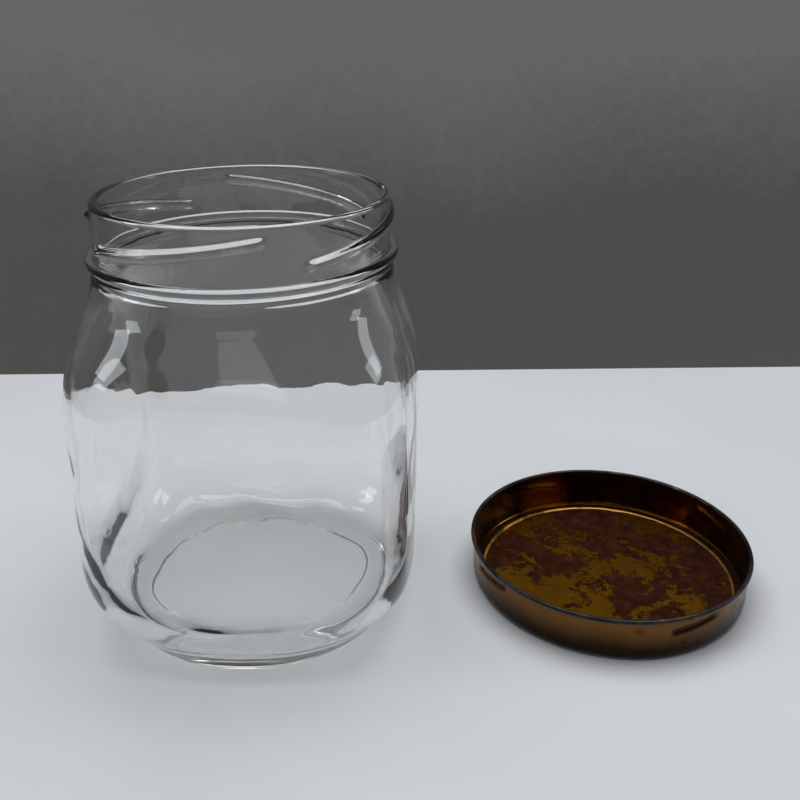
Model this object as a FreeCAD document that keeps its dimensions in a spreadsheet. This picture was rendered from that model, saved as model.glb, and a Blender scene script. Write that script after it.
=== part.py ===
import FreeCAD, Part
import math
import os
import Sketcher

# Wide-mouth glass canister with a four-start screw lid of pressed tinplate.
# Millimetres, +Z up. The origin is the middle of the jar's foot, on the surface it stands on.
# The lid lies upside down on the same surface, off the jar, in the +X direction.

os.makedirs("parts", exist_ok=True)
doc = FreeCAD.newDocument("glass_canister")

# ---------------------------------------------------------------- driving dimensions

DIMENSIONS = {
    # jar, outside
    "jar_height": 186.0,
    "body_turn": -5.0,
    "rim_width": 120.0,
    "neck_wall": 3.4,
    "lip_round": 1.6,
    "bead_depth": 23.8,
    "bead_width": 126.8,
    "bead_round": 1.9,
    "step_depth": 27.2,
    "step_width": 122.6,
    "step_slope": 0.6,
    "neck_foot": 150.0,
    "neck_overlap": 2.0,
    "bore_foot": 148.0,
    "cut_clearance": 1.0,
    # moulded thread on the neck
    "thread_starts": 4,
    "thread_lead": 52.0,
    "thread_arc": 75.5,
    "thread_middle": 70.3,
    "thread_depth": 11.5,
    "thread_round": 1.8,
    # push-up under the foot
    "ring_inner": 49.8,
    "ring_slope": 0.5,
    "push_up_edge": 1.2,
    "push_up_middle": 2.6,
    # pressed lid
    "lid_offset": 162.2,
    "lid_height": 20.5,
    "skirt_width": 125.0,
    "plate": 0.4,
    "corner_round": 3.4,
    "curl_round": 1.0,
    "curl_end": 110.0,
    # lugs pressed into the skirt
    "lug_count": 4,
    "lug_arc": 23.0,
    "lug_middle": 20.4,
    "lug_lead": 46.0,
    "lug_height": 13.9,
    "lug_round": 1.4,
    "lug_seat": 62.3,
    # seal run into the corner of the lid
    "seal_inner": 56.6,
    "seal_thick": 0.9,
    "seal_slope": 0.7,
    "seal_gap": 0.05,
}

# Outside of the jar from the foot up: height, half the width across the flats, and
# how much further a corner reaches than a flat.
OUTER_SECTIONS = [
    ("foot", 0.0, 60.3, 1.004),
    ("foot_edge", 1.8, 61.2, 1.005),
    ("heel_low", 7.0, 63.7, 1.024),
    ("heel", 15.5, 68.8, 1.06),
    ("heel_top", 28.0, 71.0, 1.118),
    ("wall_low", 56.0, 71.6, 1.135),
    ("wall_middle", 88.0, 71.8, 1.133),
    ("wall_top", 113.0, 71.7, 1.125),
    ("shoulder", 132.0, 68.2, 1.075),
    ("shoulder_top", 146.0, 63.2, 1.025),
    ("neck_root", 158.0, 61.2, 1.004),
]

# The lowest sections of the hollow.
INNER_FLOOR = [
    ("floor", 7.9, 54.7, 1.004),
    ("floor_edge", 9.2, 57.8, 1.02),
    ("floor_corner", 12.7, 61.8, 1.06),
    ("floor_side", 20.0, 64.8, 1.105),
]

# Above the floor the hollow follows the outside, in by the wall's thickness there.
WALLS = {
    "heel_top": 3.7,
    "wall_low": 2.1,
    "wall_middle": 2.2,
    "wall_top": 2.3,
    "shoulder": 3.5,
    "shoulder_top": 5.0,
    "neck_root": 4.6,
}

# A corner's radius falls this many times as fast as the corner reaches out.
CORNER_SHARPENING = 3.26

# Thread ridges and lugs run out at both ends: place along the arc, share of full size.
RUN_OUT = [(-0.5, 0.22), (-0.46, 0.8), (-0.3, 1.0), (0.0, 1.0), (0.3, 1.0), (0.46, 0.8), (0.5, 0.22)]

sheet = doc.addObject("Spreadsheet::Sheet", "sizes")


class Size:
    """A number that also carries the sheet expression it comes from."""

    def __init__(self, value, text):
        self.value = value
        self.text = text

    def __add__(self, other):
        other = as_size(other)
        return Size(self.value + other.value, f"({self.text} + {other.text})")

    def __sub__(self, other):
        other = as_size(other)
        return Size(self.value - other.value, f"({self.text} - {other.text})")

    def __mul__(self, other):
        other = as_size(other)
        return Size(self.value * other.value, f"({self.text} * {other.text})")

    def __truediv__(self, other):
        other = as_size(other)
        return Size(self.value / other.value, f"({self.text} / {other.text})")


def as_size(number):
    if isinstance(number, Size):
        return number
    return Size(float(number), repr(float(number)))


def fill_sheet():
    """Write every driving dimension to its own cell and return them by name."""
    table = dict(DIMENSIONS)
    for name, height, half, reach in OUTER_SECTIONS + INNER_FLOOR:
        table[f"{name}_height"] = height
        table[f"{name}_half"] = half
        table[f"{name}_reach"] = reach
    for name, wall in WALLS.items():
        table[f"{name}_wall"] = wall
    sizes = {}
    for row, (name, value) in enumerate(table.items(), start=1):
        sheet.set(f"A{row}", name)
        sheet.set(f"B{row}", str(value))
        sheet.setAlias(f"B{row}", name)
        sizes[name] = Size(float(value), f"sizes.{name}")
    doc.recompute()
    return sizes


size = fill_sheet()


# ---------------------------------------------------------------- sketch helpers

def new_body(name):
    body = doc.addObject("PartDesign::Body", name)
    body.Label = name
    return body


def origin_feature(body, role):
    for feature in body.Origin.OriginFeatures:
        if feature.Role == role:
            return feature
    raise ValueError(f"{body.Label} has no {role}")


def new_sketch(body, name, role, offset=None):
    sketch = body.newObject("Sketcher::SketchObject", name)
    sketch.AttachmentSupport = [(origin_feature(body, role), "")]
    sketch.MapMode = "FlatFace"
    if offset is not None:
        sketch.AttachmentOffset = offset
    return sketch


def bind(sketch, constraint, amount):
    """Add a dimension and tie it to the sheet."""
    index = sketch.addConstraint(constraint)
    sketch.setExpression(f"Constraints[{index}]", amount.text)


def pin_point(sketch, edge, point, across, up):
    """Fix one end or centre of an edge at (across, up) from the sketch origin."""
    for kind, axis, amount in (("DistanceX", -2, across), ("DistanceY", -1, up)):
        if abs(amount.value) < 1e-9:
            sketch.addConstraint(Sketcher.Constraint("PointOnObject", edge, point, axis))
        else:
            bind(sketch, Sketcher.Constraint(kind, -1, 1, edge, point, amount.value), amount)


def flat_point(across, up):
    return FreeCAD.Vector(across.value, up.value, 0)


def arc_between(start, end, centre, radius, turn):
    """An arc from start to end round centre, anticlockwise for turn 1, clockwise for -1."""
    first = math.atan2(start.y - centre.y, start.x - centre.x)
    last = math.atan2(end.y - centre.y, end.x - centre.x)
    if turn < 0:
        first, last = last, first
    if last <= first:
        last += 2 * math.pi
    circle = Part.Circle(centre, FreeCAD.Vector(0, 0, 1), radius)
    return Part.ArcOfCircle(circle, first, last)


def draw_outline(sketch, corners):
    """Draw a closed outline. Each corner is (across, up) at the end of a straight edge, or
    (across, up, centre across, centre up, radius, turn) at the end of an arc."""
    joins = []
    last = corners[-1]
    start = flat_point(last[0], last[1])
    for corner in corners:
        end = flat_point(corner[0], corner[1])
        if len(corner) == 2:
            edge = sketch.addGeometry(Part.LineSegment(start, end), False)
            joins.append((edge, 1, 2))
        else:
            centre = flat_point(corner[2], corner[3])
            arc = arc_between(start, end, centre, corner[4].value, corner[5])
            edge = sketch.addGeometry(arc, False)
            joins.append((edge, 1, 2) if corner[5] > 0 else (edge, 2, 1))
        start = end
    for here, corner in enumerate(corners):
        edge, _, tail = joins[here]
        following, head, _ = joins[(here + 1) % len(corners)]
        sketch.addConstraint(Sketcher.Constraint("Coincident", edge, tail, following, head))
        pin_point(sketch, edge, tail, corner[0], corner[1])
        if len(corner) > 2:
            bind(sketch, Sketcher.Constraint("Radius", edge, corner[4].value), corner[4])


def draw_rounded_square(sketch, half, reach):
    """Draw four bowed sides and four corner arcs, all tangent to each other."""
    diagonal = half * reach
    corner = half * (as_size(1) - (reach - 1) * CORNER_SHARPENING)
    inset = (diagonal - corner) / math.sqrt(2)
    short = inset - half
    side = (corner * corner - inset * inset - short * short) / ((short + corner) * 2)
    swing = math.atan2(inset.value, inset.value - half.value + side.value)
    away = side - half
    for quarter in range(4):
        heading = quarter * math.pi / 2
        back = FreeCAD.Vector(-math.cos(heading), -math.sin(heading), 0) * away.value
        side_circle = Part.Circle(back, FreeCAD.Vector(0, 0, 1), side.value)
        sketch.addGeometry(Part.ArcOfCircle(side_circle, heading - swing, heading + swing), False)
        slant = heading + math.pi / 4
        out = FreeCAD.Vector(math.cos(slant), math.sin(slant), 0) * (inset.value * math.sqrt(2))
        corner_circle = Part.Circle(out, FreeCAD.Vector(0, 0, 1), corner.value)
        end = heading + math.pi / 2 - swing
        sketch.addGeometry(Part.ArcOfCircle(corner_circle, heading + swing, end), False)
    for edge in range(8):
        sketch.addConstraint(Sketcher.Constraint("Tangent", edge, 2, (edge + 1) % 8, 1))
    for edge in (0, 2, 4, 6):
        axis = -1 if edge in (0, 4) else -2
        sketch.addConstraint(Sketcher.Constraint("PointOnObject", edge, 3, axis))
        bind(sketch, Sketcher.Constraint("Distance", edge, 3, -1, 1, away.value), away)
    for edge in (2, 4, 6):
        sketch.addConstraint(Sketcher.Constraint("Equal", 0, edge))
        sketch.addConstraint(Sketcher.Constraint("Equal", 1, edge + 1))
    bind(sketch, Sketcher.Constraint("Radius", 0, side.value), side)
    bind(sketch, Sketcher.Constraint("Radius", 1, corner.value), corner)


def draw_circle(sketch, across, up, radius):
    circle = Part.Circle(flat_point(across, up), FreeCAD.Vector(0, 0, 1), radius.value)
    edge = sketch.addGeometry(circle, False)
    pin_point(sketch, edge, 3, across, up)
    bind(sketch, Sketcher.Constraint("Radius", edge, radius.value), radius)


def draw_half_round(sketch, across, up, radius):
    """Draw a half disc whose flat is upright at across and whose bulge points to the axis."""
    low = flat_point(across, up - radius)
    high = flat_point(across, up + radius)
    flat = sketch.addGeometry(Part.LineSegment(low, high), False)
    arc = arc_between(high, low, flat_point(across, up), radius.value, 1)
    bulge = sketch.addGeometry(arc, False)
    sketch.addConstraint(Sketcher.Constraint("Coincident", flat, 2, bulge, 1))
    sketch.addConstraint(Sketcher.Constraint("Coincident", bulge, 2, flat, 1))
    sketch.addConstraint(Sketcher.Constraint("Vertical", flat))
    bind(sketch, Sketcher.Constraint("DistanceX", -1, 1, flat, 1, across.value), across)
    pin_point(sketch, bulge, 3, across, up)
    bind(sketch, Sketcher.Constraint("Radius", bulge, radius.value), radius)


def level_sketch(body, name, height):
    """A sketch parallel to the XY plane at a height from the sheet."""
    offset = FreeCAD.Placement(FreeCAD.Vector(0, 0, height.value), FreeCAD.Rotation())
    sketch = new_sketch(body, name, "XY_Plane", offset)
    sketch.setExpression(".AttachmentOffset.Base.z", height.text)
    return sketch


def radial_sketch(body, name, angle):
    """A sketch in the upright plane that leaves the Z axis at an angle from +X."""
    turn = FreeCAD.Rotation(FreeCAD.Vector(0, 1, 0), angle.value)
    offset = FreeCAD.Placement(FreeCAD.Vector(), turn)
    sketch = new_sketch(body, name, "XZ_Plane", offset)
    sketch.setExpression(".AttachmentOffset.Rotation.Angle", angle.text)
    return sketch


# ---------------------------------------------------------------- feature helpers

def spin(body, kind, name, sketch):
    """Revolve a sketch all the way round the Z axis, adding or cutting."""
    feature = body.newObject(kind, name)
    feature.Profile = sketch
    feature.ReferenceAxis = (sketch, ["V_Axis"])
    feature.Angle = 360.0
    doc.recompute()
    return feature


def loft(body, kind, name, sketches):
    feature = body.newObject(kind, name)
    feature.Profile = sketches[0]
    feature.Sections = sketches[1:]
    feature.Ruled = False
    doc.recompute()
    return feature


def repeat_round(body, name, feature, count):
    """Repeat a feature evenly round the body's Z axis."""
    pattern = body.newObject("PartDesign::PolarPattern", name)
    pattern.Originals = [feature]
    pattern.Axis = (origin_feature(body, "Z_Axis"), [""])
    pattern.Angle = 360.0
    body.Tip = pattern
    pattern.Occurrences = int(count.value)
    pattern.setExpression("Occurrences", count.text)
    doc.recompute()
    return pattern


def helix_sections(body, name, middle, arc, lead, height, draw):
    """Radial sketches along a right-handed rise; draw(sketch, height, share) fills each."""
    sketches = []
    for number, (place, share) in enumerate(RUN_OUT, start=1):
        angle = middle + arc * place
        rise = height + lead * arc * place / 360
        sketch = radial_sketch(body, f"{name}_{number}", angle)
        draw(sketch, rise, share)
        sketches.append(sketch)
    return sketches


# ---------------------------------------------------------------- jar

def jar_neck_outline():
    """The neck's outside with its lip, transfer bead and lower step, as a band to revolve."""
    rim = size["rim_width"] / 2
    inside = rim - size["neck_wall"] - size["neck_overlap"]
    top = size["jar_height"]
    lip = size["lip_round"]
    bead = size["bead_width"] / 2
    bead_level = top - size["bead_depth"]
    bulge = size["bead_round"]
    bead_centre = bead - bulge
    step = size["step_width"] / 2
    step_level = top - size["step_depth"]
    bead_reach = bead_centre - rim
    bead_half = Size(math.sqrt(bulge.value ** 2 - bead_reach.value ** 2),
                     f"sqrt({bulge.text} ^ 2 - {bead_reach.text} ^ 2)")
    return [
        (inside, size["neck_foot"]),
        (step, size["neck_foot"]),
        (step, step_level),
        (rim, step_level + size["step_slope"]),
        (rim, bead_level - bead_half),
        (rim, bead_level + bead_half, bead_centre, bead_level, bulge, 1),
        (rim, top - lip),
        (rim - lip, top, rim - lip, top - lip, lip, 1),
        (inside, top),
    ]


def jar_bore_outline():
    """The hollow inside the neck, wide at the lip where the inner edge is rounded."""
    bore = size["rim_width"] / 2 - size["neck_wall"]
    top = size["jar_height"]
    lip = size["lip_round"]
    over = size["cut_clearance"]
    zero = as_size(0)
    return [
        (zero, size["bore_foot"]),
        (bore, size["bore_foot"]),
        (bore, top - lip),
        (bore + lip, top, bore + lip, top - lip, lip, -1),
        (bore + lip, top + over),
        (zero, top + over),
    ]


def push_up_outline():
    """The shallow hollow under the foot, inside the ring that the jar stands on."""
    zero = as_size(0)
    ring = size["ring_inner"]
    below = zero - size["cut_clearance"]
    return [
        (zero, below),
        (ring, below),
        (ring, zero),
        (ring - size["ring_slope"], size["push_up_edge"]),
        (zero, size["push_up_middle"]),
    ]


def section_sketches(body, prefix, names, inside=False):
    """Level outlines of the jar at the named heights, in by the wall there if inside."""
    sketches = []
    for name in names:
        sketch = level_sketch(body, f"{prefix}_{name}", size[f"{name}_height"])
        half = size[f"{name}_half"]
        if inside:
            half = half - size[f"{name}_wall"]
        draw_rounded_square(sketch, half, size[f"{name}_reach"])
        sketches.append(sketch)
    return sketches


def make_jar():
    body = new_body("jar")
    outer = section_sketches(body, "outside", [row[0] for row in OUTER_SECTIONS])
    loft(body, "PartDesign::AdditiveLoft", "body_outside", outer)

    neck = new_sketch(body, "neck_profile", "XZ_Plane")
    draw_outline(neck, jar_neck_outline())
    spin(body, "PartDesign::Revolution", "neck", neck)

    def draw_thread(sketch, level, share):
        draw_circle(sketch, size["rim_width"] / 2, level, size["thread_round"] * share)

    level = size["jar_height"] - size["thread_depth"]
    ridges = helix_sections(body, "thread_section", size["thread_middle"], size["thread_arc"],
                            size["thread_lead"], level, draw_thread)
    thread = loft(body, "PartDesign::AdditiveLoft", "thread_ridge", ridges)
    repeat_round(body, "thread_ridges", thread, size["thread_starts"])

    floor = section_sketches(body, "hollow", [row[0] for row in INNER_FLOOR])
    walls = section_sketches(body, "hollow", WALLS, inside=True)
    loft(body, "PartDesign::SubtractiveLoft", "body_hollow", floor + walls)

    bore = new_sketch(body, "bore_profile", "XZ_Plane")
    draw_outline(bore, jar_bore_outline())
    spin(body, "PartDesign::Groove", "neck_bore", bore)

    under = new_sketch(body, "push_up_profile", "XZ_Plane")
    draw_outline(under, push_up_outline())
    spin(body, "PartDesign::Groove", "push_up", under)

    turn = FreeCAD.Rotation(FreeCAD.Vector(0, 0, 1), size["body_turn"].value)
    body.Placement = FreeCAD.Placement(FreeCAD.Vector(), turn)
    body.setExpression(".Placement.Rotation.Angle", size["body_turn"].text)
    return body


# ---------------------------------------------------------------- lid

def lid_shell_outline():
    """Half the section of the pressed plate: panel, corner, skirt and outward curl."""
    zero = as_size(0)
    plate = size["plate"]
    outside = size["skirt_width"] / 2
    inside = outside - plate
    corner = size["corner_round"]
    curl = size["curl_round"]
    curl_across = inside + curl
    curl_level = size["lid_height"] - curl
    end = math.radians(size["curl_end"].value)
    end_cosine = Size(math.cos(end), f"cos({size['curl_end'].text} * 1deg)")
    end_sine = Size(math.sin(end), f"sin({size['curl_end'].text} * 1deg)")
    roll = curl - plate
    return [
        (outside - corner, zero),
        (outside, corner, outside - corner, corner, corner, 1),
        (outside, curl_level),
        (curl_across + roll * end_cosine, curl_level - roll * end_sine,
         curl_across, curl_level, roll, -1),
        (curl_across + curl * end_cosine, curl_level - curl * end_sine),
        (inside, curl_level, curl_across, curl_level, curl, 1),
        (inside, corner),
        (outside - corner, plate, outside - corner, corner, corner - plate, -1),
        (zero, plate),
        (zero, zero),
    ]


def make_lid_shell():
    body = new_body("lid_shell")
    profile = new_sketch(body, "shell_profile", "XZ_Plane")
    draw_outline(profile, lid_shell_outline())
    spin(body, "PartDesign::Revolution", "pressed_plate", profile)

    def draw_ridge(sketch, level, share):
        draw_half_round(sketch, size["lug_seat"], level, size["lug_round"] * share)

    def draw_recess(sketch, level, share):
        draw_circle(sketch, size["lug_seat"], level, (size["lug_round"] - size["plate"]) * share)

    place = (size["lug_middle"], size["lug_arc"], size["lug_lead"], size["lug_height"])
    ridges = helix_sections(body, "lug_ridge", *place, draw_ridge)
    ridge = loft(body, "PartDesign::AdditiveLoft", "lug_inside", ridges)
    repeat_round(body, "lugs_inside", ridge, size["lug_count"])
    recesses = helix_sections(body, "lug_recess", *place, draw_recess)
    recess = loft(body, "PartDesign::SubtractiveLoft", "lug_outside", recesses)
    repeat_round(body, "lugs_outside", recess, size["lug_count"])
    return body


def lid_seal_outline():
    """Flat ring of sealing compound that fills the corner of the lid and takes the lip."""
    gap = size["seal_gap"]
    outside = size["skirt_width"] / 2
    corner = size["corner_round"]
    corner_across = outside - corner
    inner_corner = corner - size["plate"] - gap
    bottom = size["plate"] + gap
    top = bottom + size["seal_thick"]
    depth = corner - top
    shelf = Size(corner_across.value + math.sqrt(inner_corner.value ** 2 - depth.value ** 2),
                 f"({corner_across.text} + sqrt({inner_corner.text} ^ 2 - {depth.text} ^ 2))")
    return [
        (size["seal_inner"], bottom),
        (corner_across, bottom),
        (shelf, top, corner_across, corner, inner_corner, 1),
        (size["seal_inner"] + size["seal_slope"], top),
    ]


def make_lid_seal():
    body = new_body("lid_seal")
    profile = new_sketch(body, "seal_profile", "XZ_Plane")
    draw_outline(profile, lid_seal_outline())
    spin(body, "PartDesign::Revolution", "seal_ring", profile)
    return body


def lay_beside_jar(body):
    """Set a lid piece down beside the jar, open side up."""
    body.Placement = FreeCAD.Placement(FreeCAD.Vector(size["lid_offset"].value, 0, 0), FreeCAD.Rotation())
    body.setExpression(".Placement.Base.x", size["lid_offset"].text)


# ---------------------------------------------------------------- build, check and write

jar = make_jar()
lid_shell = make_lid_shell()
lid_seal = make_lid_seal()
for piece in (lid_shell, lid_seal):
    lay_beside_jar(piece)
doc.recompute()

for thing in doc.Objects:
    if "Invalid" in thing.State or "Error" in thing.State:
        raise RuntimeError(f"{thing.Label} is {thing.State}")
    if thing.isDerivedFrom("Sketcher::SketchObject") and not thing.FullyConstrained:
        print("loose sketch", thing.Label)

for piece in (jar, lid_shell, lid_seal):
    shape = piece.Shape
    if shape.isNull() or not shape.isValid():
        raise RuntimeError(f"{piece.Label} has no valid shape")
    box = shape.BoundBox
    print(piece.Label, "solids", len(shape.Solids), "volume cm3", round(shape.Volume / 1000, 2),
          "x", round(box.XMin, 2), round(box.XMax, 2), "y", round(box.YMin, 2), round(box.YMax, 2),
          "z", round(box.ZMin, 2), round(box.ZMax, 2))
    shape.exportStep(f"parts/{piece.Label}.step")
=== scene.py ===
import math

import bpy
import numpy as np
from mathutils import Matrix, Vector, noise


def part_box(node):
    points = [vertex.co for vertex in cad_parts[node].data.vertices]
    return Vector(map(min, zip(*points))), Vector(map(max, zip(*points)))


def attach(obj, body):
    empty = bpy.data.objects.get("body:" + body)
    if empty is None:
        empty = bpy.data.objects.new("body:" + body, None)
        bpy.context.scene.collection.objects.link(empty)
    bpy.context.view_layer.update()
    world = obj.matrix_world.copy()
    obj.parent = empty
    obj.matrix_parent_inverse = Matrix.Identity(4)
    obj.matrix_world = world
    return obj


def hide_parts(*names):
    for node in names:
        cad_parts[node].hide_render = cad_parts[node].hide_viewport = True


# Wide-mouth glass canister with its screw lid of pressed, lacquered tinplate lying beside it.
# Shapes are worked out in millimetres about each piece's own axis and written in metres.
# Materials are placed in metres from the same axes.

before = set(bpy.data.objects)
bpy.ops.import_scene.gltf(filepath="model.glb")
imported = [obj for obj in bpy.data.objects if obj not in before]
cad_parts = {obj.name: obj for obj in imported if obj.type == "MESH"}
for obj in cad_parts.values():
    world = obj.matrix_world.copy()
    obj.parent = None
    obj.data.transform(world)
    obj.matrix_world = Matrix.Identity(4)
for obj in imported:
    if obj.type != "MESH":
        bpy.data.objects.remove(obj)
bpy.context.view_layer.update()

MM = 0.001
JAR_LOW, JAR_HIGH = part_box("jar")
LID_LOW, LID_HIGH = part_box("lid_shell")
JAR_TOP = (JAR_HIGH[2] - JAR_LOW[2]) / MM
JAR_AXIS = Vector(((JAR_LOW[0] + JAR_HIGH[0]) / 2, (JAR_LOW[1] + JAR_HIGH[1]) / 2, JAR_LOW[2]))
LID_AXIS = Vector(((LID_LOW[0] + LID_HIGH[0]) / 2, (LID_LOW[1] + LID_HIGH[1]) / 2, LID_LOW[2]))
LID_TOP = (LID_HIGH[2] - LID_LOW[2]) / MM


# ---------------------------------------------------------------- shape helpers

def smooth_through(knots, values, places):
    """A natural cubic curve through (knots, values), read at places."""
    knots, values = np.asarray(knots, float), np.asarray(values, float)
    count = len(knots)
    step = np.diff(knots)
    slope = np.diff(values) / step
    system = np.eye(count)
    right = np.zeros(count)
    for i in range(1, count - 1):
        system[i, i - 1:i + 2] = step[i - 1], 2 * (step[i - 1] + step[i]), step[i]
        right[i] = 6 * (slope[i] - slope[i - 1])
    bend = np.linalg.solve(system, right)
    places = np.asarray(places, float)
    i = np.clip(np.searchsorted(knots, places) - 1, 0, count - 2)
    a, b, h = places - knots[i], knots[i + 1] - places, step[i]
    return (bend[i] * b ** 3 + bend[i + 1] * a ** 3) / (6 * h) + (
        values[i] / h - bend[i] * h / 6) * b + (values[i + 1] / h - bend[i + 1] * h / 6) * a


def spaced(points, gap):
    """The polyline cut at equal steps of about gap, ends kept."""
    points = np.asarray(points, float)
    run = np.r_[0, np.cumsum(np.linalg.norm(np.diff(points[:, :2], axis=0), axis=1))]
    places = np.linspace(0, run[-1], max(2, round(run[-1] / gap) + 1))
    return np.stack([np.interp(places, run, points[:, k]) for k in range(points.shape[1])], 1)


def eased(points, passes):
    """Corners rounded off by averaging each point with its neighbours."""
    points = np.array(points, float)
    for _ in range(passes):
        points[1:-1] = (points[:-2] + 2 * points[1:-1] + points[2:]) / 4
    return points


def arc(across, up, radius, first, last, count=9):
    """Points of an arc in a (radius, height) profile; angles in degrees."""
    turn = np.radians(np.linspace(first, last, count))
    return [(across + radius * math.cos(t), up + radius * math.sin(t)) for t in turn]


def bump(distance, width):
    """1 at distance 0, falling smoothly to 0 at width."""
    share = np.clip(np.abs(distance) / width, 0, 1)
    return (1 - share * share) ** 2


def ridge(distance, width):
    """Like bump, with a flatter top."""
    share = np.clip(np.abs(distance) / width, 0, 1)
    return (1 - share ** 3) ** 2


def turned_from(angle, middle):
    """Signed turn from middle to angle, within half a turn, in degrees."""
    return (angle - middle + 180) % 360 - 180


def along_arc(turn, arc_length, runout):
    """1 along an arc of arc_length degrees, easing to 0 over its last runout degrees."""
    left = arc_length / 2 - np.abs(turn)
    share = np.clip(left / runout, 0, 1)
    return share * share * (3 - 2 * share)


def ripple(points, pitch, seed):
    """Smooth noise in -1..1 at each point (mm), with bumps about pitch apart."""
    shift = Vector((seed * 17.3, seed * 5.1, seed * 9.7))
    return np.array([noise.noise(Vector(p) / pitch + shift) for p in points])


def all_round(columns):
    """The angles of a turned mesh's columns, in degrees."""
    return np.arange(columns) * 360.0 / columns


def turned(angle, out, height):
    """Rings of points at each angle (degrees), out from the axis and up by height."""
    turn = np.radians(angle)[None, :]
    height = np.broadcast_to(height, out.shape)
    return np.stack([out * np.cos(turn), out * np.sin(turn), height], -1)


def band_faces(rows, columns, wrapped=False):
    """Faces between neighbouring rings; wrapped joins the last ring to the first as well."""
    faces = []
    for r in range(rows if wrapped else rows - 1):
        here, above = r * columns, (r + 1) % rows * columns
        faces += [(here + c, here + (c + 1) % columns, above + (c + 1) % columns, above + c)
                  for c in range(columns)]
    return faces


def mesh_object(name, points, faces, smooth=True):
    mesh = bpy.data.meshes.new(name)
    mesh.from_pydata([tuple(p) for p in points], [], faces)
    mesh.polygons.foreach_set("use_smooth", [smooth] * len(mesh.polygons))
    mesh.update()
    obj = bpy.data.objects.new(name, mesh)
    bpy.context.collection.objects.link(obj)
    return obj


def shell_mesh(name, rings, axis):
    """A closed surface of rings of points (mm); each end runs in to one point on the axis."""
    rows, columns = rings.shape[:2]
    points = rings.reshape(-1, 3)
    faces = band_faces(rows, columns)
    for row in (0, rows - 1):
        middle = len(points)
        points = np.vstack([points, rings[row].mean(axis=0)])
        for c in range(columns):
            here, after = row * columns + c, row * columns + (c + 1) % columns
            faces.append((middle, after, here) if row == 0 else (middle, here, after))
    return mesh_object(name, points * MM + np.array(axis), faces)


# ---------------------------------------------------------------- node helpers

class Nodes:
    """Short hand for building a material's nodes."""

    def __init__(self, name):
        self.material = bpy.data.materials.new(name)
        self.material.use_nodes = True
        self.tree = self.material.node_tree
        self.tree.nodes.clear()
        self.out = self.add("ShaderNodeOutputMaterial")

    def add(self, kind, settings=(), **inputs):
        node = self.tree.nodes.new(kind)
        for key, value in dict(settings).items():
            setattr(node, key, value)
        for key, value in inputs.items():
            self.feed(node, key.replace("_", " "), value)
        return node

    def feed(self, node, socket, value):
        target = node.inputs[int(socket)] if socket.isdigit() else node.inputs[socket]
        if isinstance(value, bpy.types.Node):
            value = value.outputs[0]
        if isinstance(value, bpy.types.NodeSocket):
            self.tree.links.new(value, target)
        else:
            target.default_value = value

    def maths(self, operation, a, b=0.0):
        node = self.add("ShaderNodeMath", {"operation": operation})
        self.feed(node, "0", a)
        self.feed(node, "1", b)
        return node.outputs[0]

    def plus(self, a, b, share):
        """a with a share of b added."""
        return self.maths("ADD", a, self.maths("MULTIPLY", b, share))

    def around_half(self, value):
        """A 0 to 1 value, moved to lie evenly about 0."""
        return self.maths("SUBTRACT", value, 0.5)

    def noise(self, place, scale, detail=4.0, roughness=0.55, distortion=0.0):
        return self.add("ShaderNodeTexNoise", Vector=place, Scale=scale, Detail=detail,
                        Roughness=roughness, Distortion=distortion).outputs["Fac"]

    def ramp(self, fac, stops):
        """Colour along fac, from stops of (place, colour)."""
        node = self.add("ShaderNodeValToRGB", Fac=fac)
        while len(node.color_ramp.elements) < len(stops):
            node.color_ramp.elements.new(0.5)
        for element, (place, colour) in zip(node.color_ramp.elements, stops):
            element.position = place
            element.color = (*colour, 1)
        return node.outputs["Color"]

    def level(self, value, low, high, out_low=0.0, out_high=1.0):
        """A smooth step from out_low at low to out_high at high."""
        node = self.add("ShaderNodeMapRange", {"interpolation_type": "SMOOTHSTEP"})
        for key, number in (("Value", value), ("From Min", low), ("From Max", high),
                            ("To Min", out_low), ("To Max", out_high)):
            self.feed(node, key, number)
        return node.outputs["Result"]

    def blend(self, fac, a, b):
        """Colour a turning to b as fac goes from 0 to 1."""
        node = self.add("ShaderNodeMix", {"data_type": "RGBA"})
        for socket, value in (("0", fac), ("6", a), ("7", b)):
            self.feed(node, socket, (*value, 1) if isinstance(value, tuple) else value)
        return node.outputs[2]

    def mix(self, fac, a, b):
        node = self.add("ShaderNodeMixShader")
        for socket, value in (("0", fac), ("1", a), ("2", b)):
            self.feed(node, socket, value)
        return node

    def bump(self, height, strength, distance, below=None):
        node = self.add("ShaderNodeBump", Height=height, Strength=strength, Distance=distance)
        if below is not None:
            self.feed(node, "Normal", below)
        return node.outputs["Normal"]

    def place(self, about=(0, 0, 0)):
        """Coordinates on the object, in metres from about."""
        coordinates = self.add("ShaderNodeTexCoord")
        shift = self.add("ShaderNodeVectorMath", {"operation": "SUBTRACT"})
        self.feed(shift, "0", coordinates.outputs["Object"])
        self.feed(shift, "1", tuple(about))
        return shift.outputs[0]

    def distance(self, place, spot):
        node = self.add("ShaderNodeVectorMath", {"operation": "DISTANCE"})
        self.feed(node, "0", place)
        self.feed(node, "1", spot)
        return node.outputs["Value"]

    def parts(self, place):
        """x, y, z and the distance from the z axis."""
        x, y, z = self.add("ShaderNodeSeparateXYZ", Vector=place).outputs
        squares = self.maths("ADD", self.maths("MULTIPLY", x, x), self.maths("MULTIPLY", y, y))
        return x, y, z, self.maths("SQRT", squares)

    def finish(self, shader, volume=None):
        self.tree.links.new(shader.outputs[0], self.out.inputs["Surface"])
        if volume is not None:
            self.tree.links.new(volume.outputs[0], self.out.inputs["Volume"])
        return self.material


# ---------------------------------------------------------------- jar

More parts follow.
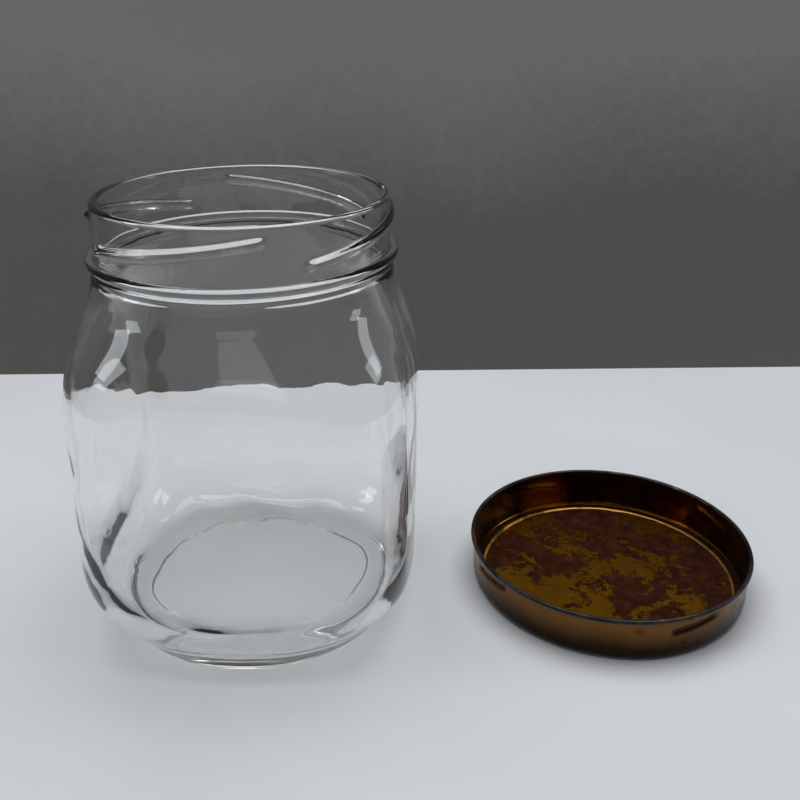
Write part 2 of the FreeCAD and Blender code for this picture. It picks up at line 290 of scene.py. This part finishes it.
# Sections of the body: height, half the width across the flats, and how many times that a
# corner reaches (1 is round). FLOOR is the bottom of the hollow, FLOOR_MIDDLE its (radius,
# height) further in, and WALLS the thickness of the glass at each height of OUTSIDE from
# HEEL_TOP up.
OUTSIDE = [
    (0.0, 60.3, 1.004), (1.8, 61.2, 1.005), (7.0, 63.7, 1.024), (15.5, 68.8, 1.06),
    (28.0, 71.0, 1.118), (56.0, 71.6, 1.135), (88.0, 71.8, 1.133), (113.0, 71.7, 1.125),
    (132.0, 68.2, 1.075), (146.0, 63.2, 1.025), (158.0, 61.2, 1.004),
]
FLOOR = [(7.9, 54.7, 1.004), (9.2, 57.8, 1.02), (12.7, 61.8, 1.06), (20.0, 64.8, 1.105)]
FLOOR_MIDDLE = [(36.0, 7.8), (20.0, 7.7), (3.0, 7.65)]
HEEL_TOP = 28.0
WALLS = [3.7, 2.1, 2.2, 2.3, 3.5, 5.0, 4.6]
SHARPENING = 3.26
ROUND_REACH = 1.0005
BODY_TURN = -5.0
NECK_RADIUS = 60.0
NECK_ROOT = 156.4
BORE_RADIUS = 56.6
BORE_ROOT = 158.0
LIP_ROUND = 1.6
BEAD_DEPTH, BEAD_CENTRE, BEAD_ROUND = 23.8, 61.5, 1.9
STEP_DEPTH, STEP_RADIUS = 27.2, 61.3
RING_INNER, RING_OUTER = 49.8, 60.3
PUSH_UP_MIDDLE, PUSH_UP_EDGE = 2.6, 1.25
THREAD_STARTS = 4
THREAD_MIDDLE, THREAD_ARC, THREAD_LEAD = 65.3, 75.5, 52.0
THREAD_DEPTH, THREAD_OUT, THREAD_HALF = 11.5, 1.75, 2.6
THREAD_RUNOUT, THREAD_PAST = 3.6, 2    # degrees, at each end and in all

# How the mesh is cut: columns round the jar, how far from the axis its first ring lies, the
# gaps between rings, and runs of heights (first, last, how many).
JAR_COLUMNS = 340
AXIS_GAP = 2.0
PUSH_UP_GAP, EDGE_GAP, RING_GAP = 4.5, 0.25, 1.6
NECK_GAP, BORE_GAP, FLOOR_GAP = 0.3, 1.7, 3.0
BEAD_CURVE_POINTS, LIP_CURVE_POINTS = 17, 6
BODY_RUNS = [(1.8, 8, 8), (9.2, 30, 16), (31.8, 106, 42), (107.6, NECK_ROOT, 33)]
HOLLOW_RUNS = [(156.5, 108, 28), (105.5, 32, 32), (30, 16, 11), (15, 10, 9), (9.6, 8.0, 7)]
FOOT_FACE, BODY_FACE, NECK_FACE, HOLLOW_FACE = range(4)

# Unevenness of the moulded glass: layers of (height, pitch, seed, stretch along the jar).
# The walls' layers fade out towards the rim, the floor and the axis, and the floor's take over.
HOLLOW_WAVES = [(0.42, 34, 1, 0.6), (0.17, 13, 2, 1), (0.03, 5, 11, 1)]
BODY_WAVES = [(0.10, 30, 3, 0.7)]
FLOOR_WAVES = [(0.35, 26, 4, 1), (0.08, 7, 5, 1)]
WAVE_TOP, WAVE_FADE = 165, 30
FLOOR_WAVE_TOP, FLOOR_LEVEL, FLOOR_FADE, MIDDLE_FADE = 14, 9, 8, 40


def rounded_square(angle, half, reach):
    """How far out a bowed square with rounded corners lies at each angle (degrees)."""
    reach = np.maximum(reach, ROUND_REACH)
    corner = half * (1 - SHARPENING * (reach - 1))
    inset = (half * reach - corner) / math.sqrt(2)
    side = (corner ** 2 - inset ** 2 - (inset - half) ** 2) / (2 * (inset - half + corner))
    away = side - half
    swing = np.arctan2(inset, inset + away)
    join = np.arctan2(side * np.sin(swing), side * np.cos(swing) - away)
    turn = np.radians(np.abs((angle + 45) % 90 - 45))
    flat = -away * np.cos(turn) + np.sqrt(np.maximum(side ** 2 - (away * np.sin(turn)) ** 2, 0))
    reach_in = inset * math.sqrt(2)
    slant = math.pi / 4 - turn
    round_ = reach_in * np.cos(slant) + np.sqrt(
        np.maximum(corner ** 2 - (reach_in * np.sin(slant)) ** 2, 0))
    return np.where(turn <= join, flat, round_)


def body_rows(sections, runs, face):
    """Rows of a body between sections, at runs of heights."""
    heights = np.concatenate([np.linspace(*run) for run in runs])
    knots, halves, reaches = zip(*sections)
    half = smooth_through(knots, halves, heights)
    reach = smooth_through(knots, reaches, heights)
    return [(h, z, r, face) for h, z, r in zip(half, heights, reach)]


def round_rows(points, face):
    """Rows of a round part of the jar, from (radius, height) points."""
    return [(r, z, 1.0, face) for r, z in points]


def foot_points():
    """(radius, height) from the middle of the push-up, over the standing ring, to the heel."""
    under = [(AXIS_GAP, PUSH_UP_MIDDLE), (RING_INNER - 0.9, PUSH_UP_EDGE)]
    under = spaced(under, PUSH_UP_GAP)
    edge = [(RING_INNER - 0.9, PUSH_UP_EDGE), (RING_INNER - 0.3, 1.2), (RING_INNER + 0.2, 0.1),
            (RING_INNER + 1.0, 0.0), (RING_INNER + 1.8, 0.0)]
    ring = spaced([(RING_INNER + 1.8, 0.0), (RING_OUTER - 1.6, 0.0)], RING_GAP)
    heel = [(RING_OUTER - 1.6, 0.0), (RING_OUTER - 0.25, 0.0), (RING_OUTER + 0.2, 0.6),
            (RING_OUTER + 0.5, 1.2)]
    edge, heel = (eased(spaced(part, EDGE_GAP), 2) for part in (edge, heel))
    return np.concatenate([under, edge[1:], ring[1:], heel[1:]])


def neck_points(root_radius):
    """(radius, height) from the top of the shoulder, over step and bead, to below the lip."""
    bead, step = JAR_TOP - BEAD_DEPTH, JAR_TOP - STEP_DEPTH
    half_bead = math.sqrt(BEAD_ROUND ** 2 - (BEAD_CENTRE - NECK_RADIUS) ** 2)
    swing = math.degrees(math.asin(half_bead / BEAD_ROUND))
    neck = [(root_radius, NECK_ROOT), (STEP_RADIUS, step - 0.3), (STEP_RADIUS - 0.3, step + 0.1),
            (NECK_RADIUS, step + 0.5)]
    neck += arc(BEAD_CENTRE, bead, BEAD_ROUND, -180 + swing, 180 - swing, BEAD_CURVE_POINTS)
    neck += [(NECK_RADIUS, bead + half_bead + 0.2), (NECK_RADIUS, JAR_TOP - LIP_ROUND)]
    neck = eased(spaced(neck, NECK_GAP), 2)[1:-1]
    keep = [i for i, (r, z) in enumerate(neck) if z < bead + 3 or i % 2 == 0]
    return neck[keep]


def jar_rows():
    """The jar's whole section from the middle of the foot, up the outside and down the inside:
    (half width, height, corner reach, face)."""
    rows = round_rows(foot_points(), FOOT_FACE)
    rows += body_rows(OUTSIDE, BODY_RUNS, BODY_FACE)
    rows += round_rows(neck_points(rows[-1][0]), NECK_FACE)
    lip_height = JAR_TOP - LIP_ROUND
    for across, first in ((NECK_RADIUS - LIP_ROUND, 0), (BORE_RADIUS + LIP_ROUND, 90)):
        lip = arc(across, lip_height, LIP_ROUND, first, first + 90, LIP_CURVE_POINTS)
        rows += round_rows(lip, NECK_FACE)
    bore = [(BORE_RADIUS, lip_height - 1.0), (BORE_RADIUS, BORE_ROOT)]
    rows += round_rows(spaced(bore, BORE_GAP), HOLLOW_FACE)
    above_heel = [section for section in OUTSIDE if section[0] >= HEEL_TOP]
    hollow = FLOOR + [(z, h - wall, r) for (z, h, r), wall in zip(above_heel, WALLS)]
    rows += body_rows(hollow, HOLLOW_RUNS, HOLLOW_FACE)
    last = rows[-1][0]
    floor = [(last - 1.2, 7.93), (last - 2.6, 7.9)] + FLOOR_MIDDLE
    rows += round_rows(spaced(floor, FLOOR_GAP), HOLLOW_FACE)
    return rows


def thread_height(angle, z):
    """How far the moulded thread ridges stand out of the neck."""
    raised = np.zeros(np.broadcast(angle, z).shape)
    for start in range(THREAD_STARTS):
        turn = turned_from(angle, THREAD_MIDDLE + 360 / THREAD_STARTS * start)
        line = JAR_TOP - THREAD_DEPTH + THREAD_LEAD * turn / 360
        raised = np.maximum(raised, THREAD_OUT * ridge(z - line, THREAD_HALF)
                            * along_arc(turn, THREAD_ARC + THREAD_PAST, THREAD_RUNOUT))
    return raised


def waves(points, layers):
    """Layers of ripple added up at each point."""
    return sum(height * ripple(points * (1, 1, stretch), pitch, seed)
               for height, pitch, seed, stretch in layers)


def make_jar():
    angle = all_round(JAR_COLUMNS)
    half, z, reach, face = (np.array(column, float)[:, None] for column in zip(*jar_rows()))
    out = rounded_square(angle[None, :] - BODY_TURN, half, reach)
    out = np.where(reach <= ROUND_REACH, half, out)
    out = out + np.where(face == NECK_FACE, thread_height(angle[None, :], z), 0)
    rings = turned(angle, out, z)

    flat = rings.reshape(-1, 3)
    hollow = np.broadcast_to(face == HOLLOW_FACE, out.shape).ravel()
    body = np.broadcast_to(face == BODY_FACE, out.shape).ravel()
    fade = np.clip((WAVE_TOP - flat[:, 2]) / WAVE_FADE, 0, 1)
    wave = np.zeros(len(flat))
    wave[hollow] = waves(flat[hollow], HOLLOW_WAVES) * fade[hollow]
    wave[body] = waves(flat[body], BODY_WAVES) * fade[body]
    away = np.linalg.norm(flat[:, :2], axis=1)
    level = np.clip((flat[:, 2] - FLOOR_LEVEL) / FLOOR_FADE, 0, 1)
    level = level * np.clip(away / MIDDLE_FADE, 0, 1)
    scale = 1 + wave * level / np.maximum(away, 1)
    flat[:, :2] *= scale[:, None]
    floor = hollow & (flat[:, 2] < FLOOR_WAVE_TOP)
    flat[floor, 2] += waves(flat[floor], FLOOR_WAVES) * (1 - level[floor])
    return shell_mesh("jar_glass", rings, JAR_AXIS)


jar = make_jar()
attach(jar, "jar")
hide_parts("jar")


# What shadow rays see, from glass faced squarely to glass seen edge on.
SHADOW_TINT = [(0.0, (0.94, 0.945, 0.94)), (0.5, (0.82, 0.825, 0.82)), (1.0, (0.25, 0.26, 0.255))]


def glass_material():
    n = Nodes("clear_soda_glass")
    place = n.place(JAR_AXIS)
    height = n.plus(n.noise(place, 38.0, 2.0), n.noise(place, 160.0, 2.0), 0.12)
    glass = n.add("ShaderNodeBsdfPrincipled", Roughness=0.0, IOR=1.5, Transmission_Weight=1.0,
                  Base_Color=(0.995, 0.996, 0.995, 1), Normal=n.bump(height, 0.25, 0.0006))
    rim = n.add("ShaderNodeLayerWeight", Blend=0.35).outputs["Facing"]
    clear = n.add("ShaderNodeBsdfTransparent", Color=n.ramp(rim, SHADOW_TINT))
    path = n.add("ShaderNodeLightPath")
    unseen = n.maths("MAXIMUM", path.outputs["Is Shadow Ray"], path.outputs["Is Diffuse Ray"])
    body = n.add("ShaderNodeVolumeAbsorption", Color=(0.74, 0.80, 0.77, 1), Density=3.0)
    return n.finish(n.mix(unseen, glass, clear), body)


jar.data.materials.append(glass_material())


# ---------------------------------------------------------------- lid

SKIRT_RADIUS = 62.5
PLATE = 0.4
CORNER_ROUND = 3.4
CURL_ROUND = 1.0
CURL_END = 110.0
LUGS = 4
LUG_MIDDLE, LUG_ARC, LUG_LEAD, LUG_HEIGHT = 20.4, 23.0, 46.0, 13.9
LUG_IN, LUG_RUNOUT, LUG_PAST = 1.2, 4.0, 2
LUG_HALF_IN, LUG_HALF_OUT = 2.4, 2.0
CURL_CURVE_POINTS, UNDER_CURVE_POINTS = 22, 6
PANEL_RADIUS, PANEL_FADE, PANEL_WAVE = 57, 8, 0.10
SEAL_INNER, SEAL_LOW, SEAL_HIGH = 56.6, PLATE + 0.15, PLATE + 0.95
SEAL_CLEARANCE, SEAL_CURVE_POINTS = 0.1, 6
SEAL_MIDDLE, SEAL_EDGE = 60.0, 2.2
LID_COLUMNS = 360
LID_GAP = 0.8
SEAL_GAP = 0.32
INNER_FACE, CURL_FACE, OUTER_FACE = range(3)


def lid_rows():
    """The plate's section from the middle of the panel's inside, up, over the curl and back
    under the panel: (radius, height, face)."""
    inner = SKIRT_RADIUS - PLATE
    corner = SKIRT_RADIUS - CORNER_ROUND
    curl_across, curl_up = inner + CURL_ROUND, LID_TOP - CURL_ROUND
    inside = [(AXIS_GAP, PLATE), (corner, PLATE)]
    inside += arc(corner, CORNER_ROUND, CORNER_ROUND - PLATE, -90, 0)
    inside = eased(spaced(inside + [(inner, curl_up - 0.3)], LID_GAP), 1)
    curl = arc(curl_across, curl_up, CURL_ROUND, 180, -CURL_END, CURL_CURVE_POINTS)
    under = arc(curl_across, curl_up, CURL_ROUND - PLATE, -CURL_END, -178, UNDER_CURVE_POINTS)
    under = [(max(r, SKIRT_RADIUS), z) for r, z in under]
    outside = [(SKIRT_RADIUS, curl_up - 0.7), (SKIRT_RADIUS, CORNER_ROUND)]
    outside += arc(corner, CORNER_ROUND, CORNER_ROUND, 0, -90)
    outside = spaced(outside + [(AXIS_GAP, 0.0)], LID_GAP)
    return [(r, z, face) for points, face in ((inside, INNER_FACE), (curl, CURL_FACE),
                                              (under, OUTER_FACE), (outside, OUTER_FACE))
            for r, z in points]


def make_lid():
    angle = all_round(LID_COLUMNS)
    rows = lid_rows()
    radius, z, face = (np.array(column, float)[:, None] for column in zip(*rows))
    pressed = np.zeros((len(rows), LID_COLUMNS))
    for lug in range(LUGS):
        turn = turned_from(angle, LUG_MIDDLE + 360 / LUGS * lug)[None, :]
        line = LUG_HEIGHT + LUG_LEAD * turn / 360
        wide = np.where(face == INNER_FACE, LUG_HALF_IN, LUG_HALF_OUT)
        pressed = np.maximum(pressed, bump(z - line, wide)
                             * along_arc(turn, LUG_ARC + LUG_PAST, LUG_RUNOUT))
    on_skirt = (face != CURL_FACE) & (radius > SKIRT_RADIUS - 1)
    rings = turned(angle, radius - LUG_IN * pressed * on_skirt, z)
    flat = rings.reshape(-1, 3)
    away = np.linalg.norm(flat[:, :2], axis=1)
    panel = np.clip((PANEL_RADIUS - away) / PANEL_FADE, 0, 1)
    inner = np.repeat(face[:, 0] == INNER_FACE, LID_COLUMNS)
    flat[inner, 2] += PANEL_WAVE * (1 + ripple(flat[inner], 24, 6)) * panel[inner]
    lid = shell_mesh("lid_plate", rings, LID_AXIS)
    index = np.repeat(face[:-1, 0].astype(int), LID_COLUMNS)
    index = np.r_[index, np.full(LID_COLUMNS, INNER_FACE), np.full(LID_COLUMNS, OUTER_FACE)]
    lid.data.polygons.foreach_set("material_index", index)
    # The pressed depth, kept to paint shade into the lug recesses.
    dent_shade = lid.data.attributes.new("pressed", "FLOAT", "POINT")
    shown = (pressed * on_skirt).ravel()
    dent_shade.data.foreach_set("value", np.r_[shown, np.zeros(len(lid.data.vertices) - len(shown))])
    return lid


lid = make_lid()
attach(lid, "lid")
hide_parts("lid_shell")


def make_seal():
    """Ring of flowed-in compound in the lid's corner, its inner edge a little uneven."""
    corner = SKIRT_RADIUS - CORNER_ROUND
    reach = CORNER_ROUND - PLATE - SEAL_CLEARANCE
    shelf = corner + math.sqrt(reach ** 2 - (CORNER_ROUND - SEAL_HIGH) ** 2)
    last = math.degrees(math.asin((SEAL_HIGH - CORNER_ROUND) / reach))
    section = [(SEAL_INNER, SEAL_LOW), (corner, SEAL_LOW)]
    section += arc(corner, CORNER_ROUND, reach, -88, last, SEAL_CURVE_POINTS)
    section += [(shelf - 0.2, SEAL_HIGH + 0.02), (SEAL_INNER + 1.6, SEAL_HIGH),
                (SEAL_INNER + 0.7, SEAL_HIGH - 0.12), (SEAL_INNER + 0.15, SEAL_HIGH - 0.45),
                (SEAL_INNER, SEAL_LOW)]
    section = spaced(section, SEAL_GAP)[:-1]
    radius, z = section[:, :1], section[:, 1:]
    angle = all_round(LID_COLUMNS)
    around = turned(angle, np.full((1, LID_COLUMNS), SEAL_MIDDLE), 0.0)[0]
    edge = 0.35 * ripple(around, 9, 7) + 0.15 * ripple(around, 3, 8)
    out = radius + edge[None, :] * bump(radius - SEAL_INNER, SEAL_EDGE)
    up = z + 0.05 * ripple(around, 5, 9)[None, :] * (z > 1.0)
    points = turned(angle, out, up).reshape(-1, 3)
    faces = band_faces(len(section), LID_COLUMNS, wrapped=True)
    return mesh_object("seal_ring", points * MM + np.array(LID_AXIS), faces)


seal = make_seal()
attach(seal, "lid")
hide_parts("lid_seal")


# Colour ramps are lists of (place, colour); painted glints are (middle, reach) on the skirt,
# orange spots standing in for reflected window light.
GOLD = [(0.3, (0.28, 0.114, 0.003)), (0.7, (0.46, 0.203, 0.005))]
RUST = [(0.3, (0.011, 0.0026, 0.0008)), (0.5, (0.026, 0.0065, 0.002)),
        (0.72, (0.052, 0.017, 0.008))]
RUST_LEAN = 0.9
SKIRT_DARK, SKIRT_LIGHT = (0.035, 0.010, 0.001), (0.10, 0.034, 0.003)
# Orange of the painted glints: reflected window light painted onto the lid's inner skirt.
PAINTED_GLINT_COLOUR = (0.62, 0.20, 0.008)
PAINTED_GLINT_SPOTS = [((-0.0600, 0.0130, 0.009), 0.016), ((-0.0180, 0.0590, 0.006), 0.014)]
STEEL = [(0.35, (0.012, 0.013, 0.015)), (0.58, (0.04, 0.043, 0.047)),
         (0.75, (0.22, 0.225, 0.23))]
STEEL_STAIN = (0.07, 0.026, 0.010)
# Bronze lacquer, its dark end serving as painted shade near the table.
BRONZE_WITH_PAINTED_SHADE = [(0.1, (0.022, 0.009, 0.002)), (0.9, (0.145, 0.068, 0.016))]
BRONZE_RUST = (0.05, 0.014, 0.006)
DENT_SHADE = (0.022, 0.009, 0.003)
RUST_SPOT, RUST_SPOT_COLOUR = (-0.0032, -0.0624, 0.0145), (0.10, 0.018, 0.008)
AMBER = [(0.3, (0.44, 0.20, 0.02)), (0.7, (0.66, 0.35, 0.06))]
# Colours of the seal's painted breaks in its reflected light and of its painted corner shade.
PAINTED_BREAK_COLOUR, PAINTED_CORNER_SHADE = (0.09, 0.04, 0.012), (0.02, 0.007, 0.002)


def lid_inside_material():
    """Gold lacquer rusting through in patches, more so to the right and the back; the skirt
    darker, with two painted glints of reflected light."""
    n = Nodes("gold_lacquer_rusted")
    place = n.place(LID_AXIS)
    x, y, height, radius = n.parts(place)
    blotch = n.noise(place, 33.0, 14.0, 0.70, 0.4)
    speck = n.noise(place, 260.0, 6.0, 0.65)
    rust = n.plus(n.plus(blotch, n.around_half(speck), 0.36), n.maths("ADD", x, y), RUST_LEAN)
    rust = n.maths("MULTIPLY", n.level(rust, 0.44, 0.545), n.level(radius, 0.0572, 0.0558))
    gold = n.ramp(n.noise(place, 26.0, 4.0), GOLD)
    brown = n.ramp(n.noise(place, 150.0, 6.0, 0.7), RUST)
    skirt = n.blend(n.level(speck, 0.35, 0.65), SKIRT_DARK, SKIRT_LIGHT)
    # Painted glints: two orange spots on the skirt, standing in for reflected window light.
    for spot, reach in PAINTED_GLINT_SPOTS:
        gap = n.maths("SUBTRACT", n.distance(place, spot), n.maths("MULTIPLY", speck, 0.006))
        skirt = n.blend(n.level(gap, reach, 0.002), skirt, PAINTED_GLINT_COLOUR)
    rise = n.level(n.plus(height, blotch, 0.003), 0.0022, 0.0034)
    colour = n.blend(rise, n.blend(n.level(rust, 0.0, 0.62), gold, brown), skirt)
    rough = n.maths("ADD", n.level(speck, 0.3, 0.8, 0.18, 0.28),
                    n.level(rust, 0.5, 1.0, 0.0, 0.36))
    pits = n.maths("MULTIPLY", rust, n.noise(place, 420.0, 4.0, 0.7))
    normal = n.bump(pits, 0.35, 0.0004)
    normal = n.bump(n.noise(place, 60.0, 2.0), 0.12, 0.0008, normal)
    return n.finish(n.add("ShaderNodeBsdfPrincipled", Base_Color=colour, Roughness=rough,
                          Metallic=n.level(rust, 0.15, 0.85, 0.95, 0.0), Normal=normal,
                          Specular_IOR_Level=0.04))


def lid_rim_material():
    """Bare steel of the curl, worn bright in places and stained."""
    n = Nodes("worn_tinplate_curl")
    place = n.place(LID_AXIS)
    wear = n.noise(place, 90.0, 6.0, 0.65)
    stain = n.level(n.noise(place, 42.0, 4.0, 0.6), 0.52, 0.62)
    colour = n.blend(n.maths("MULTIPLY", stain, 0.7), n.ramp(wear, STEEL), STEEL_STAIN)
    return n.finish(n.add("ShaderNodeBsdfPrincipled", Base_Color=colour, Metallic=0.8,
                          Roughness=n.level(wear, 0.3, 0.8, 0.28, 0.5),
                          Normal=n.bump(n.noise(place, 500.0, 3.0), 0.2, 0.0003)))


def lid_outside_material():
    """Bronze lacquer with painted shade near the table and in the pressed lugs, small rusty
    patches and one redder spot."""
    n = Nodes("bronze_lacquer")
    place = n.place(LID_AXIS)
    height = n.parts(place)[2]
    cloud = n.noise(place, 40.0, 5.0)
    scuff = n.noise(place, 260.0, 4.0, 0.6)
    # Painted shade: the skirt darkens towards the table, standing in for the lid's contact
    # shadow; the cloud adds random variation.
    tone_and_painted_light = n.plus(n.level(height, 0.001, 0.019), n.around_half(cloud), 0.7)
    rust = n.level(n.noise(place, 95.0, 6.0, 0.65), 0.62, 0.70)
    # Painted shade in the pressed lug recesses, following the pressed depth.
    dent_shade = n.add("ShaderNodeAttribute", {"attribute_name": "pressed"}).outputs["Fac"]
    dent_shade = n.level(dent_shade, 0.1, 0.7)
    spot = n.level(n.plus(n.distance(place, RUST_SPOT), scuff, 0.003), 0.0042, 0.0026)
    colour = n.ramp(tone_and_painted_light, BRONZE_WITH_PAINTED_SHADE)
    for share, strength, shade in ((rust, 0.8, BRONZE_RUST), (dent_shade, 0.75, DENT_SHADE),
                                   (spot, 0.7, RUST_SPOT_COLOUR)):
        colour = n.blend(n.maths("MULTIPLY", share, strength), colour, shade)
    return n.finish(n.add("ShaderNodeBsdfPrincipled", Base_Color=colour, Metallic=0.85,
                          Roughness=n.plus(n.level(scuff, 0.3, 0.8, 0.24, 0.36), rust, 0.3),
                          Normal=n.bump(scuff, 0.08, 0.0003)))


def seal_material():
    """Amber compound, with painted breaks and dimming towards the right in its reflected light,
    and painted shade in the corner outside it.
    """
    n = Nodes("amber_compound")
    place = n.place(LID_AXIS)
    x, _, _, radius = n.parts(place)
    cloud = n.noise(place, 70.0, 5.0, 0.6)
    # Painted breaks: darker patches along the ring and a fall-off towards the right copy how
    # reflected window light breaks up and fades.
    painted_breaks = n.level(n.noise(place, 55.0, 4.0, 0.6), 0.52, 0.58)
    painted_breaks = n.maths("MAXIMUM", painted_breaks, n.level(x, 0.012, 0.04, 0.0, 0.8))
    colour = n.blend(n.maths("MULTIPLY", painted_breaks, 0.85), n.ramp(cloud, AMBER), PAINTED_BREAK_COLOUR)
    # Painted shade: outside 58 mm, where the seal lies in the lid's corner, it turns near black.
    colour = n.blend(n.level(radius, 0.0576, 0.0580), colour, PAINTED_CORNER_SHADE)
    return n.finish(n.add("ShaderNodeBsdfPrincipled", Base_Color=colour, Metallic=0.55,
                          Roughness=n.level(cloud, 0.3, 0.8, 0.22, 0.4),
                          Normal=n.bump(n.noise(place, 300.0, 3.0), 0.15, 0.0004)))


for material in (lid_inside_material(), lid_rim_material(), lid_outside_material()):
    lid.data.materials.append(material)
seal.data.materials.append(seal_material())


# ---------------------------------------------------------------- stage, light and camera

WALL_MIDDLE, WALL_SLOPE = 0.2552, -0.0272
WALL_HALF, TABLE_HALF, TABLE_FRONT, WALL_HEIGHT = 1.6, 0.62, -0.95, 0.9
SHEET_CUTS = 8


def stage_sheet(name, corners):
    """A flat sheet between four corners, cut into a grid."""
    corners = np.array(corners, float)
    share = np.linspace(0, 1, SHEET_CUTS + 1)
    points = []
    for v in share:
        left = corners[0] + (corners[3] - corners[0]) * v
        right = corners[1] + (corners[2] - corners[1]) * v
        points += [left + (right - left) * u for u in share]
    wide = SHEET_CUTS + 1
    faces = [(r * wide + c, r * wide + c + 1, (r + 1) * wide + c + 1, (r + 1) * wide + c)
             for r in range(SHEET_CUTS) for c in range(SHEET_CUTS)]
    sheet = mesh_object(name, points, faces, smooth=False)
    return sheet


def wall_foot(x):
    """A point of the line where the backdrop meets the table."""
    return (x, WALL_MIDDLE + x * WALL_SLOPE, 0)


def wall_top(x):
    """The point of the backdrop's top edge above wall_foot(x)."""
    return (*wall_foot(x)[:2], WALL_HEIGHT)


table = stage_sheet("table_top", [(-TABLE_HALF, TABLE_FRONT, 0), (TABLE_HALF, TABLE_FRONT, 0),
                                  wall_foot(TABLE_HALF), wall_foot(-TABLE_HALF)])
wall = stage_sheet("backdrop", [wall_foot(-WALL_HALF), wall_foot(WALL_HALF),
                                wall_top(WALL_HALF), wall_top(-WALL_HALF)])
wall.visible_shadow = False

LAMINATE = [(0.3, (0.61, 0.63, 0.665)), (0.7, (0.66, 0.68, 0.715))]
# Grey plaster; the lightest stop is reached only through the painted light higher up.
PLASTER_WITH_PAINTED_LIGHT = [(0.3, (0.135, 0.130, 0.118)), (0.7, (0.175, 0.170, 0.156)),
           (1.0, (0.34, 0.335, 0.32))]


def table_material():
    n = Nodes("pale_laminate")
    place = n.place()
    return n.finish(n.add("ShaderNodeBsdfPrincipled", Roughness=0.55,
                          Base_Color=n.ramp(n.noise(place, 5.0, 4.0), LAMINATE),
                          Normal=n.bump(n.noise(place, 900.0, 2.0), 0.05, 0.0002)))


def wall_material():
    """Grey plaster, with painted light making it lighter higher up; clear from behind, so that
    the object can be seen from the back."""
    n = Nodes("grey_backdrop")
    place = n.place()
    cloud = n.maths("MULTIPLY", n.noise(place, 3.0, 5.0, 0.6), 0.35)
    tone_and_painted_light = n.plus(cloud, n.noise(place, 140.0, 5.0, 0.7), 0.2)
    # Painted light: the backdrop turns lighter higher up, standing in for light the lamps don't
    # bring to it.
    tone_and_painted_light = n.maths("ADD", tone_and_painted_light, n.level(n.parts(place)[2], 0.0, 0.5, 0.225, 1.425))
    plaster = n.add("ShaderNodeBsdfPrincipled", Base_Color=n.ramp(tone_and_painted_light, PLASTER_WITH_PAINTED_LIGHT), Roughness=0.9)
    behind = n.add("ShaderNodeNewGeometry").outputs["Backfacing"]
    return n.finish(n.mix(behind, plaster, n.add("ShaderNodeBsdfTransparent")))


table.data.materials.append(table_material())
wall.data.materials.append(wall_material())


def soft_light(name, place, towards, wide, tall, power, colour):
    lamp = bpy.data.lights.new(name, "AREA")
    lamp.shape = "RECTANGLE"
    lamp.size, lamp.size_y = wide, tall
    lamp.energy = power
    lamp.color = colour
    obj = bpy.data.objects.new(name, lamp)
    bpy.context.collection.objects.link(obj)
    obj.location = place
    obj.rotation_euler = (Vector(towards) - Vector(place)).to_track_quat("-Z", "Y").to_euler()


DAYLIGHT, LAMPLIGHT, ROOM_LIGHT = (0.90, 0.95, 1.0), (1.0, 0.995, 0.985), (0.96, 0.98, 1.0)
ROOM_GREY, ROOM_STRENGTH = (0.50, 0.51, 0.52, 1), 0.15
BODY_MIDDLE = (0, 0, 0.12)

soft_light("overhead_soft", (0.07, 0.30, 1.8), (0.03, 0.0, 0), 2.2, 1.6, 36.8, LAMPLIGHT)
soft_light("window_left", (-1.6, -0.15, 0.75), BODY_MIDDLE, 0.42, 0.5, 3.0, DAYLIGHT)
soft_light("window_right", (1.6, 0.15, 0.75), BODY_MIDDLE, 0.42, 0.5, 2.8, DAYLIGHT)
soft_light("room_behind", (-0.25, -2.2, 0.9), BODY_MIDDLE, 0.7, 0.6, 1.5, ROOM_LIGHT)

world = bpy.data.worlds.new("soft_room")
world.use_nodes = True
background = world.node_tree.nodes["Background"]
background.inputs["Color"].default_value = ROOM_GREY
background.inputs["Strength"].default_value = ROOM_STRENGTH
bpy.context.scene.world = world

CAMERA_PLACE = (0.04143, -0.38404, 0.26706)
CAMERA_YAW, CAMERA_DOWN, CAMERA_ROLL = -2.58, 19.171, -0.167
CAMERA_LENS, CAMERA_SENSOR = 43.11, 36.0
CAMERA_SHIFT = (0.0162, -0.1107)
CAMERA_CLIP = (0.01, 20.0)
camera_data = bpy.data.cameras.new("camera")
camera_data.sensor_width = CAMERA_SENSOR
camera_data.lens = CAMERA_LENS
camera_data.shift_x, camera_data.shift_y = CAMERA_SHIFT
camera_data.clip_start, camera_data.clip_end = CAMERA_CLIP
camera = bpy.data.objects.new("camera", camera_data)
bpy.context.collection.objects.link(camera)
aim = (Matrix.Rotation(math.radians(CAMERA_YAW), 4, "Z")
       @ Matrix.Rotation(math.radians(90 - CAMERA_DOWN), 4, "X")
       @ Matrix.Rotation(math.radians(CAMERA_ROLL), 4, "Z"))
camera.matrix_world = Matrix.Translation(CAMERA_PLACE) @ aim
bpy.context.scene.camera = camera
bpy.context.scene.view_settings.view_transform = "Standard"
